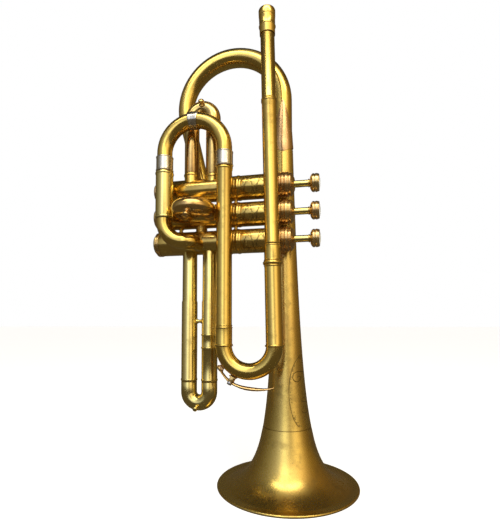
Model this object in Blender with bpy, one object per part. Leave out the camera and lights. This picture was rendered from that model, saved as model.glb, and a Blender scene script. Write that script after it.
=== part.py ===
"""Cornet with three piston valves, standing on its bell.

Modelled about the bell's own axis: x = y = 0 on that axis, z = 0 at the bell's rim, +X towards the
finger buttons and -Y towards the mouthpipe. An empty then moves the whole instrument so that the
origin is the bottom centre of its bounding box. Lengths are in metres.
"""

import bpy
import bmesh
from math import atan2, ceil, cos, exp, pi, radians, sin
from mathutils import Matrix, Quaternion, Vector

# ---- driving dimensions -------------------------------------------------------------------------

gap = 0.0003                    # between soldered pieces that touch on the real instrument
slideClearance = 0.0003         # radial, between a slide's leg and its receiver
wall = 0.0005                   # brass tube wall
ferruleWall = 0.0007            # sleeves soldered round a tube

# bell
bellRimRadius = 0.0590
bellRimBead = 0.0011            # radius of the wire rolled into the rim
bellRestFlat = 0.0008           # width of the worn flat the instrument stands on
bellSeamHeight = 0.0490         # where the flare is joined to the stem
bellTailHeight = 0.2860         # where the stem ends inside the bell bow
bellTailLean = -0.0024          # sideways drift of the stem's top
bellHornScale = 0.01434         # radius law: scale * ((z + throat) / 0.1) ** -power + floor
bellHornThroat = 0.0117
bellHornPower = 0.59
bellHornFloor = 0.0011
bellLipFlare = 0.0070           # extra turn-out of the lip, dying away over bellLipReach
bellLipReach = 0.0035

# bell bow
bowRadius = 0.0453              # centre line
bowCrownHeight = 0.3776         # centre line
bowSmallRadius = 0.0064         # tube radius at the valve end
bowTailRadius = 0.0079          # tube radius at the bell end
bowFerruleOverlap = 0.0040      # of its sleeve over the bell's stem
bowFerruleLength = 0.0180
bowTuckAngle = radians(14)      # how far the bow turns past a half circle

# valves
valvePitch = 0.0225
middleValveHeight = 0.2257
valvePlane = -0.0220            # y of the three valve axes
casingRadius = 0.00985
casingWall = 0.00135
casingBore = casingRadius - casingWall
casingBottom = -0.1045          # x
casingTop = -0.0033             # x
barrelStart = -0.0350           # x, where the spring barrel begins
beadStart = -0.0440             # x, where the ring between casing and barrel begins
spigotRadius = casingRadius - 0.00065           # threaded ends under the caps
spigotLength = 0.0030
capRadius = casingRadius + 0.00035
topCapEnd = 0.0097              # x
bottomCapEnd = -0.1120          # x
pistonLength = 0.0510
pistonClearance = 0.0002
pistonTravel = 0.0110
portRadius = 0.0044
neckRadius = 0.0034
stemRadius = 0.0028
buttonRadius = 0.0073
buttonHeight = 0.0072
buttonUnderside = topCapEnd + pistonTravel + 0.0017     # x at rest, clear of the cap when pressed
pearlRadius = buttonRadius - 0.0015
springRadius = casingBore - 0.0027
springWire = 0.00045
springTurns = 6

# mouthpipe and front bow
frontPlane = -0.0402            # y of the mouthpipe, front bow and main tuning slide
mouthpipeHeight = 0.3834        # top of the receiver
receiverLength = 0.0143
receiverTail = 0.0060            # narrow sleeve below it, round the mouthpipe
mouthpipeRadius = 0.0057
receiverRadius = mouthpipeRadius + 0.0010
shankRadius = 0.0048            # socket for the mouthpiece's shank
shankDepth = 0.0180
mouthpipeFoot = 0.1188          # bottom of the lower mouthpipe
mouthpipeFootX = -0.0044
mouthpipeTopX = -0.0098
lowerPipeRadius = mouthpipeRadius + 0.0008
lowerPipeTop = 0.1957
lowerPipeBead = 0.0624          # the middle bead, above the pipe's foot
lowerPipeEntry = 0.0120         # how far above the foot the mouthpipe ends inside
frontLegX = -0.0444
frontLegTop = 0.2593
frontLegBand = 0.0120           # height of the thicker band at its foot
frontBowRadius = 0.0061         # tube
frontLegRadius = frontBowRadius + 0.0001

# main tuning slide
tuningSpan = 0.0511             # between its legs
tuningCrownHeight = 0.3005      # centre line
tuningTubeRadius = frontBowRadius
tuningReceiverRadius = tuningTubeRadius + 0.0010
tuningReceiverFoot = 0.2206
tuningTravel = 0.0120           # more would bring its band against the first slide's knob
tuningLegStay = 0.0360          # right leg still inside when pulled out
ferruleLength = 0.0120

# valve slides
slideTubeRadius = 0.0062        # receivers
firstSlideX = -0.0779           # left leg
firstSlideSpan = 0.0190
firstSlidePlane = -0.0240
firstSlideTop = 0.3190          # centre line of the crook
firstReceiverTop = middleValveHeight + valvePitch + 0.0143
firstElbowRadius = 0.0065
firstTravel = 0.0035            # short: the right leg stands over the casing
firstLegDepth = firstTravel + 0.0006    # crook leg inside its receiver
firstKnobSize = 0.7
secondSlideX = -0.0793
secondSlideSpan = 0.0216
secondSlideReach = -0.0560      # y of the crook's centre line
secondReceiverEnd = -0.0400     # y
secondTravel = 0.0060
secondLegDepth = secondTravel + 0.0010
thirdSlideX = -0.0797
thirdSlideSpan = 0.0178
thirdSlideBottom = 0.0695       # centre line of the crook
thirdReceiverFoot = 0.0870
thirdSleeveTop = 0.1550         # the wider outer sleeves begin here
thirdSleeveRadius = 0.0066
thirdReceiverRadius = thirdSleeveRadius - 0.0005
thirdTravel = 0.0300
thirdLegDepth = thirdTravel + 0.0400
thirdBraceHeight = 0.1370
thirdKnobSize = 0.7

# water key
keyPivotAngle = radians(243)    # round the front bow's centre, from +X
keyPivotDrop = 0.0057           # pin below the front bow's tube
keyCupDrop = 0.0031             # the lever's middle over the cork
keyTail = {258: 0.0059, 274: 0.0066, 288: 0.0084, 301: 0.0104}     # degrees: drop of the thumb end
keyCupAngle = radians(218)
keyPinRadius = 0.0009
keyWidth = 0.0050
knuckleRadius = 0.0017
earThickness = 0.0008
corkRadius = 0.0024
corkThickness = 0.0016
footThickness = 0.0007

tubeSides = 12
valveSides = 16
bellSides = 32
bendSteps = 4                   # per quarter turn

# ---- colours: base colour, roughness, metallic --------------------------------------------------

finishes = {
    "aged_brass": ((0.62, 0.40, 0.12, 1), 0.24, 1.0),
    "bell_brass": ((0.66, 0.42, 0.13, 1), 0.30, 1.0),
    "copper_brass": ((0.60, 0.33, 0.15, 1), 0.32, 1.0),
    "nickel_silver": ((0.62, 0.56, 0.46, 1), 0.25, 1.0),
    "spring_steel": ((0.50, 0.50, 0.50, 1), 0.30, 1.0),
    "pearl": ((0.80, 0.80, 0.74, 1), 0.25, 0.0),
    "cork": ((0.45, 0.28, 0.14, 1), 0.80, 0.0),
}


def finish(name):
    material = bpy.data.materials.get(name)
    if material is None:
        colour, roughness, metallic = finishes[name]
        material = bpy.data.materials.new(name)
        material.use_nodes = True
        shader = material.node_tree.nodes["Principled BSDF"]
        shader.inputs["Base Color"].default_value = colour
        shader.inputs["Roughness"].default_value = roughness
        shader.inputs["Metallic"].default_value = metallic
    return material


# ---- building tools -----------------------------------------------------------------------------


def addObject(name, bm, finishName, parent, origin=Vector()):
    """Make bm, drawn in the instrument's coordinates, an object whose own origin is at origin."""
    bmesh.ops.translate(bm, verts=bm.verts, vec=-origin)
    bmesh.ops.recalc_face_normals(bm, faces=bm.faces)
    mesh = bpy.data.meshes.new(name)
    bm.to_mesh(mesh)
    bm.free()
    mesh.materials.append(finish(finishName))
    mesh.shade_smooth()
    mesh.set_sharp_from_angle(angle=radians(32))
    made = bpy.data.objects.new(name, mesh)
    bpy.context.collection.objects.link(made)
    made.parent = parent
    made.location = origin
    return made


def addEmpty(name, origin=Vector(), parent=None):
    made = bpy.data.objects.new(name, None)
    bpy.context.collection.objects.link(made)
    made.location = origin
    made.parent = parent
    return made


def loft(stations, hollow, sides):
    """Skin a row of circles, each a (frame, radius): a closed ring if hollow, else capped."""
    bm = bmesh.new()
    rings = []
    for frame, radius in stations:
        made = bmesh.ops.create_circle(bm, segments=sides, radius=radius, matrix=frame)
        rings.append(made["verts"])
    following = rings[1:] + rings[:1] if hollow else rings[1:]
    for ring, other in zip(rings, following):
        for side in range(sides):
            after = (side + 1) % sides
            bm.faces.new((ring[side], ring[after], other[after], other[side]))
    if not hollow:
        bm.faces.new(rings[0])
        bm.faces.new(rings[-1])
    return bm


def turned(profile, base, axis, hollow, sides):
    """Turn a profile of (distance along the axis, radius) points about an axis through base."""
    turn = Vector((0, 0, 1)).rotation_difference(axis).to_matrix().to_4x4()
    stations = [
        (Matrix.Translation(base + axis * distance) @ turn, radius) for distance, radius in profile
    ]
    return loft(stations, hollow, sides)


def route(points, radii):
    """Points and headings along a polyline whose inner corners are rounded to the given radii."""
    path = [(points[0], (points[1] - points[0]).normalized())]
    for before, corner, after, radius in zip(points, points[1:], points[2:], radii):
        heading = (corner - before).normalized()
        leaving = (after - corner).normalized()
        angle = heading.angle(leaving)
        axis = heading.cross(leaving).normalized()
        start = corner - heading * radius * sin(angle / 2) / cos(angle / 2)
        centre = start + axis.cross(heading) * radius
        steps = max(2, ceil(bendSteps * angle / (pi / 2)))
        for step in range(steps + 1):
            turn = Quaternion(axis, angle * step / steps)
            path.append((centre + turn @ (start - centre), turn @ heading))
    path.append((points[-1], (points[-1] - points[-2]).normalized()))
    return path


def frames(path):
    """Frames along a path, each turned from the last by no more than the bend needs."""
    heading = path[0][1]
    turn = Vector((0, 0, 1)).rotation_difference(heading)
    made = []
    for point, following in path:
        turn = heading.rotation_difference(following) @ turn
        heading = following
        made.append(Matrix.Translation(point) @ turn.to_matrix().to_4x4())
    return made


def tube(path, startRadius, endRadius, thickness, sides=tubeSides):
    """Tube along a path whose outer radius changes evenly from one end to the other."""
    spots = [point for point, heading in path]
    lengths = [0.0]
    for spot, following in zip(spots, spots[1:]):
        lengths.append(lengths[-1] + (following - spot).length)
    outer = [startRadius + (endRadius - startRadius) * run / lengths[-1] for run in lengths]
    stations = list(zip(frames(path), outer))
    if thickness is None:
        return loft(stations, False, sides)
    inner = [(frame, radius - thickness) for frame, radius in reversed(stations)]
    return loft(stations + inner, True, sides)


def straight(start, end):
    heading = (end - start).normalized()
    return [(start, heading), (end, heading)]


def uBend(start, heading, side, span, length):
    """Route of a slide crook: out along heading for length, a half circle towards side, back."""
    far = start + heading * (length + span / 2)
    corners = [start, far, far + side * span, start + side * span]
    return route(corners, [span / 2 * 0.999, span / 2 * 0.999])


def cut(target, cutter, operation="DIFFERENCE"):
    modifier = target.modifiers.new(operation.lower(), "BOOLEAN")
    modifier.operation = operation
    modifier.solver = "EXACT"
    modifier.object = cutter
    return modifier


def addCutter(name, bm, parent):
    made = addObject(name, bm, "aged_brass", parent)
    made.hide_render = True
    made.display_type = "WIRE"
    return made


def bead(centre, width, radius, proud):
    """Profile points of a rounded ring that stands proud of a tube of the given radius."""
    return [
        (centre - width / 2, radius),
        (centre - width / 4, radius + proud),
        (centre + width / 4, radius + proud),
        (centre + width / 2, radius),
    ]


def sleeve(profile, bore, start, end):
    """Close an outer profile from start to end with a bore of one radius."""
    return [(start, bore)] + profile + [(end, bore)]


# ---- shared places ------------------------------------------------------------------------------

up = Vector((0, 0, 1))
down = -up
right = Vector((1, 0, 0))
front = Vector((0, -1, 0))


def valveHeight(number):
    return middleValveHeight + (2 - number) * valvePitch


def mouthpipePoint(height):
    share = (height - mouthpipeFoot) / (mouthpipeHeight - mouthpipeFoot)
    x = mouthpipeFootX + (mouthpipeTopX - mouthpipeFootX) * share
    return Vector((x, frontPlane, height))


def bellRadius(z):
    """Outer radius of the bell at a height."""
    horn = bellHornScale * ((z + bellHornThroat) / 0.1) ** -bellHornPower + bellHornFloor
    return horn + bellLipFlare * exp(-z / bellLipReach)


def insideBell(z):
    """The point of the bell's inner skin across the wall from the outer skin at a height."""
    slope = (bellRadius(z + gap) - bellRadius(z - gap)) / (2 * gap)
    share = wall / (1 + slope * slope) ** 0.5
    return z + slope * share, bellRadius(z) - share


def stemPoint(z):
    """The bell's stem leans a little above the flare."""
    share = (z - bellSeamHeight) / (bellTailHeight - bellSeamHeight)
    return Vector((bellTailLean * share, 0, z))


# ---- the bell -----------------------------------------------------------------------------------


def addBell(parent):
    lip = bellRimRadius - bellRimBead
    turns = [radians(turn) for turn in (-30, 30, 90, 150)]
    rest = bellRestFlat / 2
    rim = [(bellRimBead / 2, lip - bellRimBead), (0, lip - rest), (0, lip + rest)]
    rim += [(bellRimBead * (1 + sin(turn)), lip + bellRimBead * cos(turn)) for turn in turns]
    heights = [0.0018, 0.0038, 0.0065, 0.0100, 0.0150, 0.0220, 0.0330, bellSeamHeight - gap / 2]
    outer = [(height, bellRadius(height)) for height in heights]
    inner = [insideBell(height) for height in reversed(heights)]
    flare = turned(rim + outer + inner, Vector(), up, True, bellSides)
    addObject("bell_flare", flare, "bell_brass", parent)

    heights = [bellSeamHeight + gap / 2, 0.060, 0.075, 0.094, 0.122, 0.155, 0.195, 0.240, bellTailHeight]
    skin = [(Matrix.Translation(stemPoint(height)), bellRadius(height)) for height in heights]
    inner = [(frame, radius - wall) for frame, radius in reversed(skin)]
    addObject("bell_stem", loft(skin + inner, True, valveSides), "bell_brass", parent)


def bowRoute():
    """From the bell's stem up, over and down to the first valve's back."""
    top = stemPoint(bellTailHeight)
    centre = Vector((top.x - bowRadius, 0, bowCrownHeight - bowRadius))
    path = [(Vector((top.x, 0, bellTailHeight + gap)), up)]
    arc = pi + bowTuckAngle
    steps = 3 * bendSteps
    for step in range(steps + 1):
        angle = arc * step / steps
        spot = centre + Vector((cos(angle), 0, sin(angle))) * bowRadius
        path.append((spot, Vector((-sin(angle), 0, cos(angle)))))
    spot, heading = path[-1]
    port = Vector((spot.x, valvePlane, valveHeight(1)))
    run = (spot.z - port.z) / -heading.z
    corner = spot + heading * run
    port.x = corner.x
    path += route([spot, corner, port], [0.0115])[1:]
    return path


def addBellBow(parent, envelope):
    bow = addObject(
        "bell_bow", tube(bowRoute(), bowTailRadius, bowSmallRadius, wall), "aged_brass", parent
    )
    cut(bow, envelope)
    foot = bellTailHeight - bowFerruleOverlap
    radius = bellRadius(foot) + gap + ferruleWall
    low = stemPoint(foot)
    high = Vector((low.x, 0, foot + bowFerruleLength))
    sleeveTube = tube(straight(low, high), radius, radius, ferruleWall, valveSides)
    addObject("bell_bow_ferrule", sleeveTube, "copper_brass", parent)


# ---- valves -------------------------------------------------------------------------------------


def casingProfile():
    lowEnd = casingBottom - spigotLength
    highEnd = casingTop + spigotLength
    outer = [(lowEnd, spigotRadius), (casingBottom, spigotRadius), (casingBottom, casingRadius)]
    for centre in (beadStart + 0.0012, barrelStart - 0.0012):
        outer += bead(centre, 0.0020, casingRadius, 0.00035)
    outer += [(casingTop, casingRadius), (casingTop, spigotRadius), (highEnd, spigotRadius)]
    ledge = beadStart + 0.0015          # the valve guide's seat inside the casing
    inner = [(highEnd, casingBore), (ledge + 0.0025, casingBore), (ledge + 0.0025, neckRadius + 0.0006),
             (ledge, neckRadius + 0.0006), (ledge, casingBore), (lowEnd, casingBore)]
    return outer + inner


def topCapProfile():
    start = casingTop + gap
    roof = topCapEnd - 0.0018
    outer = [(start, capRadius)]
    for step in range(2):
        low = start + 0.0016 + 0.0030 * step
        outer += [(low, capRadius), (low + 0.0008, capRadius - 0.0006), (low + 0.0016, capRadius)]
    outer += [(topCapEnd - 0.0035, capRadius), (topCapEnd - 0.0014, capRadius - 0.0014),
              (topCapEnd, capRadius - 0.0030)]
    inner = [(topCapEnd, stemRadius + 0.0004), (roof, stemRadius + 0.0004), (roof, casingBore),
             (casingTop + spigotLength + gap, casingBore),
             (casingTop + spigotLength + gap, spigotRadius + gap), (start, spigotRadius + gap)]
    return outer + inner


def bottomCapProfile():
    start = casingBottom - gap
    floor = bottomCapEnd + 0.0022
    seat = casingBottom - spigotLength - gap
    inner = [(floor, 0.0008), (floor, casingBore - 0.0004), (seat, casingBore - 0.0004),
             (seat, spigotRadius + gap), (start, spigotRadius + gap)]
    outer = [(start, capRadius), (start - 0.0012, capRadius), (start - 0.0016, capRadius - 0.0006),
             (start - 0.0022, capRadius), (start - 0.0034, capRadius),
             (bottomCapEnd + 0.0014, 0.0032), (bottomCapEnd + 0.0004, 0.0026), (bottomCapEnd, 0.0012)]
    return inner + outer


def pistonProfile():
    bodyRadius = casingBore - pistonClearance
    bodyTop = beadStart + 0.0015 - gap
    flange = topCapEnd - 0.0018 - gap
    return [(bodyTop - pistonLength, 0.0012), (bodyTop - pistonLength, bodyRadius),
            (bodyTop, bodyRadius), (bodyTop, neckRadius), (flange - 0.0020, neckRadius),
            (flange - 0.0020, casingBore - 0.0006), (flange, casingBore - 0.0006), (flange, stemRadius),
            (buttonUnderside - gap, stemRadius), (buttonUnderside - gap, stemRadius * 0.6),
            (buttonUnderside + buttonHeight * 0.6, stemRadius * 0.6)]


def buttonProfile():
    bottom = buttonUnderside
    top = buttonUnderside + buttonHeight
    socket = stemRadius * 0.6 + gap
    floor = bottom + buttonHeight * 0.6 + gap
    return [(floor, 0.0006), (floor, socket), (bottom, socket), (bottom, buttonRadius - 0.0012),
            (bottom + 0.0010, buttonRadius - 0.0002), (top - 0.0014, buttonRadius),
            (top, buttonRadius - 0.0008), (top, pearlRadius + gap), (top - 0.0010, pearlRadius + gap),
            (top - 0.0010, 0.0006)]


def springCoil(start, end, axis):
    """Open compression spring, drawn from one end of its place to the other."""
    stepsPerTurn = 8
    count = springTurns * stepsPerTurn
    side = axis.orthogonal().normalized()
    other = axis.cross(side)
    path = []
    for step in range(count + 1):
        angle = 2 * pi * step / stepsPerTurn
        rise = (end - start) * step / count
        spot = start + rise + (side * cos(angle) + other * sin(angle)) * springRadius
        heading = (other * cos(angle) - side * sin(angle)) * springRadius * 2 * pi * springTurns
        path.append((spot, (heading + (end - start)).normalized()))
    return tube(path, springWire, springWire, None, 4)


def addValve(number, parent):
    axis = Vector((0, valvePlane, valveHeight(number)))
    label = "_" + str(number)
    casing = addObject(
        "valve_casing" + label, turned(casingProfile(), axis, right, True, valveSides), "aged_brass", parent
    )
    addObject("top_cap" + label, turned(topCapProfile(), axis, right, True, valveSides),
              "copper_brass", parent)
    addObject("bottom_cap" + label, turned(bottomCapProfile(), axis, right, False, valveSides),
              "copper_brass", parent)
    moving = addEmpty("valve" + label + "_motion", axis, parent)
    piston = addObject("piston" + label, turned(pistonProfile(), Vector(), right, False, valveSides),
                       "nickel_silver", moving)
    for step in range(3):
        port = beadStart - 0.009 - step * 0.0155
        place = Vector((port, 0, 0))
        bore = turned([(-0.02, portRadius), (0.02, portRadius)], place, front, False, 10)
        cut(piston, addCutter("port_cutter" + label + "_" + str(step + 1), bore, moving))
    addObject("finger_button" + label, turned(buttonProfile(), Vector(), right, False, valveSides),
              "copper_brass", moving)
    face = buttonUnderside + buttonHeight
    pearl = [(face - 0.0010 + gap, pearlRadius), (face, pearlRadius), (face + 0.0005, pearlRadius * 0.7),
             (face + 0.0007, pearlRadius * 0.2)]
    addObject("button_pearl" + label, turned(pearl, Vector(), right, False, valveSides), "pearl", moving)
    seat = beadStart + 0.0040 + springWire + gap
    flange = topCapEnd - 0.0038 - springWire - 2 * gap
    coil = springCoil(axis + right * seat, axis + right * flange, right)
    addObject("valve_spring" + label, coil, "spring_steel", parent)
    envelope = turned([(casingBottom - 0.01, casingRadius + gap), (topCapEnd, casingRadius + gap)],
                      axis, right, False, valveSides)
    return addCutter("casing_envelope" + label, envelope, parent)


def addWindways(parent, envelopes):
    """The knuckles and turned posts that join the three casings."""
    between = [(1, 2), (2, 3)]
    for upper, lower in between:
        label = "_" + str(upper) + str(lower)
        posts = {"windway": (-0.0695, 0.0050), "valve_post": (-0.0395, 0.0021)}
        if lower == 3:
            posts["valve_post_rear"] = (-0.0880, 0.0024)
        for name, (x, radius) in posts.items():
            start = Vector((x, valvePlane, valveHeight(lower)))
            end = Vector((x, valvePlane, valveHeight(upper)))
            post = addObject(name + label, tube(straight(start, end), radius, radius, None, 12),
                             "aged_brass", parent)
            cut(post, envelopes[upper])
            cut(post, envelopes[lower])


# ---- mouthpipe and front bow --------------------------------------------------------------------


def addMouthpipe(parent):
    top = mouthpipePoint(mouthpipeHeight)
    foot = mouthpipePoint(mouthpipeFoot)
    along = (top - foot).normalized()
    tail = -receiverLength - receiverTail
    profile = [(tail, mouthpipeRadius + gap + ferruleWall),
               (-receiverLength, receiverRadius - 0.0002), (-0.0060, receiverRadius - 0.0002),
               (-0.0054, receiverRadius), (-0.0006, receiverRadius), (0, receiverRadius - 0.0006),
               (0, shankRadius), (-shankDepth, shankRadius - 0.0003),
               (-shankDepth, mouthpipeRadius + gap), (tail, mouthpipeRadius + gap)]
    addObject("mouthpiece_receiver", turned(profile, top, along, True, valveSides), "nickel_silver", parent)
    end = top - along * (shankDepth + gap)
    start = mouthpipePoint(mouthpipeFoot + lowerPipeEntry)
    pipe = tube(straight(start, end), mouthpipeRadius, mouthpipeRadius - 0.0001, wall)
    addObject("mouthpipe", pipe, "aged_brass", parent)
    length = lowerPipeTop - mouthpipeFoot
    outer = [(gap, lowerPipeRadius)] + bead(0.0016, 0.0024, lowerPipeRadius, 0.0008)
    outer += bead(lowerPipeBead, 0.0030, lowerPipeRadius, 0.0010) + [(length, lowerPipeRadius)]
    profile = sleeve(outer, mouthpipeRadius + gap, gap, length)
    addObject("lower_mouthpipe", turned(profile, foot, along, True, tubeSides), "aged_brass", parent)


def addFrontBow(parent):
    start = mouthpipePoint(mouthpipeFoot)
    span = start.x - frontLegX
    bow = tube(uBend(start, down, -right, span, 0.001), frontBowRadius, frontBowRadius, wall)
    addObject("front_bow", bow, "aged_brass", parent)
    foot = Vector((frontLegX, frontPlane, mouthpipeFoot))
    length = frontLegTop - mouthpipeFoot
    outer = bead(0.0016, 0.0024, frontLegRadius + 0.0003, 0.0008)
    outer += [(frontLegBand, frontLegRadius + 0.0003), (frontLegBand + 0.0002, frontLegRadius)]
    outer += bead(length - 0.0016, 0.0024, frontLegRadius, 0.0005)
    profile = sleeve(outer, tuningTubeRadius - slideClearance, gap, length)
    profile[1] = (gap, frontLegRadius + 0.0003)
    addObject("front_bow_leg", turned(profile, foot, up, True, tubeSides), "aged_brass", parent)


# ---- main tuning slide --------------------------------------------------------------------------


def addTuningSlide(parent, motion, envelope):
    leftX = frontLegX - tuningSpan
    arcBase = tuningCrownHeight - tuningSpan / 2
    legRadius = tuningTubeRadius - 2 * slideClearance
    rise = arcBase - frontLegTop
    rightFoot = Vector((frontLegX, frontPlane, frontLegTop + gap))
    crook = uBend(rightFoot, up, -right, tuningSpan, rise - gap)
    addObject("tuning_slide_bow", tube(crook, tuningTubeRadius, tuningTubeRadius, wall), "aged_brass", motion)
    # the legs below the crook, which slide inside the front bow's leg and the left receiver
    for name, x, top, bottom in (
        ("tuning_slide_leg_right", frontLegX, frontLegTop, frontLegTop - tuningTravel - tuningLegStay),
        ("tuning_slide_leg_left", leftX, frontLegTop, tuningReceiverFoot + 0.003),
    ):
        ends = straight(Vector((x, frontPlane, bottom)), Vector((x, frontPlane, top)))
        addObject(name, tube(ends, legRadius, legRadius, wall), "nickel_silver", motion)
    for name, x in (("tuning_slide_ferrule_right", frontLegX), ("tuning_slide_ferrule_left", leftX)):
        low = frontLegTop + 2 * gap if x == frontLegX else frontLegTop + gap
        ends = straight(Vector((x, frontPlane, low)), Vector((x, frontPlane, low + ferruleLength)))
        radius = tuningTubeRadius + gap + ferruleWall
        addObject(name, tube(ends, radius, radius, ferruleWall), "nickel_silver", motion)
    crown = Vector((frontLegX - tuningSpan / 2, frontPlane, tuningCrownHeight))
    centre = crown - up * tuningSpan / 2
    path = []
    for angle in (radians(82), radians(90), radians(98)):
        spot = centre + Vector((cos(angle), 0, sin(angle))) * tuningSpan / 2
        path.append((spot, Vector((-sin(angle), 0, cos(angle)))))
    radius = tuningTubeRadius + gap + ferruleWall
    addObject("tuning_slide_band", tube(path, radius, radius, ferruleWall), "nickel_silver", motion)

    foot = Vector((leftX, frontPlane, tuningReceiverFoot))
    length = frontLegTop - tuningReceiverFoot
    outer = [(0, tuningReceiverRadius)] + bead(0.0016, 0.0024, tuningReceiverRadius, 0.0004)
    outer += bead(length - 0.0014, 0.0020, tuningReceiverRadius, 0.0004) + [(length, tuningReceiverRadius)]
    profile = sleeve(outer, tuningTubeRadius - slideClearance, 0, length)
    addObject("tuning_slide_receiver", turned(profile, foot, up, True, tubeSides), "aged_brass", parent)
    axis = valveHeight(3)
    corners = [foot - up * gap, Vector((leftX, frontPlane, axis - 0.001)),
               Vector((-0.0740, frontPlane + 0.0010, axis - 0.002)),
               Vector((-0.0690, valvePlane, axis - 0.002))]
    elbow = tube(route(corners, [0.0170, 0.0075]), tuningTubeRadius + 0.0003, tuningTubeRadius, wall)
    cut(addObject("third_valve_inlet", elbow, "aged_brass", parent), envelope)


# ---- valve slides -------------------------------------------------------------------------------


def knob(base, axis, size):
    profile = [(-0.0020, 0.0016), (0.0006, 0.0016), (0.0006, 0.0026), (0.0016, 0.0026), (0.0020, 0.0017),
               (0.0030, 0.0017), (0.0036, 0.0025), (0.0052, 0.0027), (0.0062, 0.0015)]
    profile = [(distance * size, radius * size) for distance, radius in profile]
    return turned(profile, base, axis, False, 12)


def slideTube(path, depth, radius, legRadius):
    """A crook whose two ends carry narrower legs that reach depth into the receivers."""
    crook = list(zip(frames(path), [radius] * len(path)))
    first, last = crook[0][0], crook[-1][0]
    inward = path[0][1] * depth
    ends = []
    for frame in (first, last):
        ends.append((Matrix.Translation(-inward) @ frame, frame))
    outer = [(ends[0][0], legRadius), (ends[0][1], legRadius)] + crook
    outer += [(ends[1][1], legRadius), (ends[1][0], legRadius)]
    bore = legRadius - wall
    inner = [(ends[1][0], bore)] + [(frame, bore) for frame, size in reversed(crook)] + [(ends[0][0], bore)]
    return loft(outer + inner, True, tubeSides)


def addCrook(name, body, knobBase, knobAxis, knobSize, motion):
    """A slide's crook with its pull knob; the knob is joined to the tube by a union."""
    made = addObject(name, body, "copper_brass", motion)
    pull = addCutter(name + "_pull", knob(knobBase, knobAxis, knobSize), motion)
    cut(made, pull, "UNION")
    return made


def addFirstSlide(parent, motion, envelope):
    plane, height = firstSlidePlane, valveHeight(1)
    left = Vector((firstSlideX, plane, firstReceiverTop))
    corner = Vector((firstSlideX, plane, height + 0.001))
    inside = Vector((firstSlideX + 0.0085, valvePlane, height - 0.001))
    path = route([left, corner, inside], [firstElbowRadius])
    receiver = addObject("first_slide_receiver_left", tube(path, slideTubeRadius, slideTubeRadius, wall),
                         "aged_brass", parent)
    cut(receiver, envelope)
    rightX = firstSlideX + firstSlideSpan
    ends = straight(Vector((rightX, plane, height)), Vector((rightX, plane, firstReceiverTop)))
    receiver = addObject("first_slide_receiver_right", tube(ends, slideTubeRadius, slideTubeRadius, wall),
                         "aged_brass", parent)
    cut(receiver, envelope)
    start = left + up * gap
    length = firstSlideTop - firstSlideSpan / 2 - start.z
    crown = Vector((firstSlideX + firstSlideSpan / 2, plane - slideTubeRadius, firstSlideTop - 0.0012))
    path = uBend(start, up, right, firstSlideSpan, length)
    body = slideTube(path, firstLegDepth, slideTubeRadius, slideTubeRadius - wall - slideClearance)
    axis = Vector((0.1, -0.75, 0.65)).normalized()
    addCrook("first_slide_crook", body, crown, axis, firstKnobSize, motion)


def addSecondSlide(parent, motion, envelope):
    height = valveHeight(2)
    for side, x in (("left", secondSlideX), ("right", secondSlideX + secondSlideSpan)):
        ends = straight(Vector((x, valvePlane, height)), Vector((x, secondReceiverEnd, height)))
        receiver = addObject("second_slide_receiver_" + side,
                             tube(ends, slideTubeRadius, slideTubeRadius, wall), "aged_brass", parent)
        cut(receiver, envelope)
    start = Vector((secondSlideX, secondReceiverEnd - gap, height))
    length = start.y - secondSlideReach - secondSlideSpan / 2
    crown = Vector((secondSlideX + secondSlideSpan / 2, secondSlideReach + 0.0005, height - slideTubeRadius))
    path = uBend(start, front, right, secondSlideSpan, length)
    body = slideTube(path, secondLegDepth, slideTubeRadius, slideTubeRadius - wall - slideClearance)
    addCrook("second_slide_crook", body, crown, Vector((0, -0.45, -0.9)).normalized(), 1, motion)


def addThirdSlide(parent, motion, envelope):
    height = valveHeight(3)
    for side, x in (("left", thirdSlideX), ("right", thirdSlideX + thirdSlideSpan)):
        foot = Vector((x, valvePlane, thirdReceiverFoot))
        step = thirdSleeveTop - thirdReceiverFoot
        outer = bead(0.0014, 0.0020, thirdSleeveRadius, 0.0003)
        outer += [(step, thirdSleeveRadius), (step + 0.0006, thirdReceiverRadius)]
        outer += [(height - thirdReceiverFoot, thirdReceiverRadius)]
        profile = sleeve(outer, thirdReceiverRadius - wall, 0, height - thirdReceiverFoot)
        receiver = addObject("third_slide_receiver_" + side, turned(profile, foot, up, True, tubeSides),
                             "aged_brass", parent)
        cut(receiver, envelope)
    start = Vector((thirdSlideX, valvePlane, thirdReceiverFoot - gap))
    length = start.z - thirdSlideBottom - thirdSlideSpan / 2
    knobY = valvePlane - thirdSleeveRadius * 0.9
    crown = Vector((thirdSlideX + thirdSlideSpan / 2, knobY, thirdSlideBottom - 0.0025))
    path = uBend(start, down, right, thirdSlideSpan, length)
    body = slideTube(path, thirdLegDepth, thirdSleeveRadius, thirdReceiverRadius - wall - slideClearance)
    axis = Vector((-0.1, -0.9, -0.35)).normalized()
    addCrook("third_slide_crook", body, crown, axis, thirdKnobSize, motion)
    reach = thirdSlideSpan / 2 - thirdSleeveRadius - gap
    middle = Vector((thirdSlideX + thirdSlideSpan / 2, valvePlane, thirdBraceHeight))
    brace = turned([(-reach, 0.0018), (reach, 0.0018)], middle, right, False, 12)
    addObject("third_slide_brace", brace, "aged_brass", parent)


# ---- water key and braces -----------------------------------------------------------------------


def bowSpot(angle, radius):
    """A point round the front bow's centre, in the plane of the bow."""
    span = mouthpipeFootX - frontLegX
    centre = Vector((frontLegX + span / 2, frontPlane, mouthpipeFoot - 0.001))
    return centre + Vector((cos(angle), 0, sin(angle))) * radius


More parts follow.
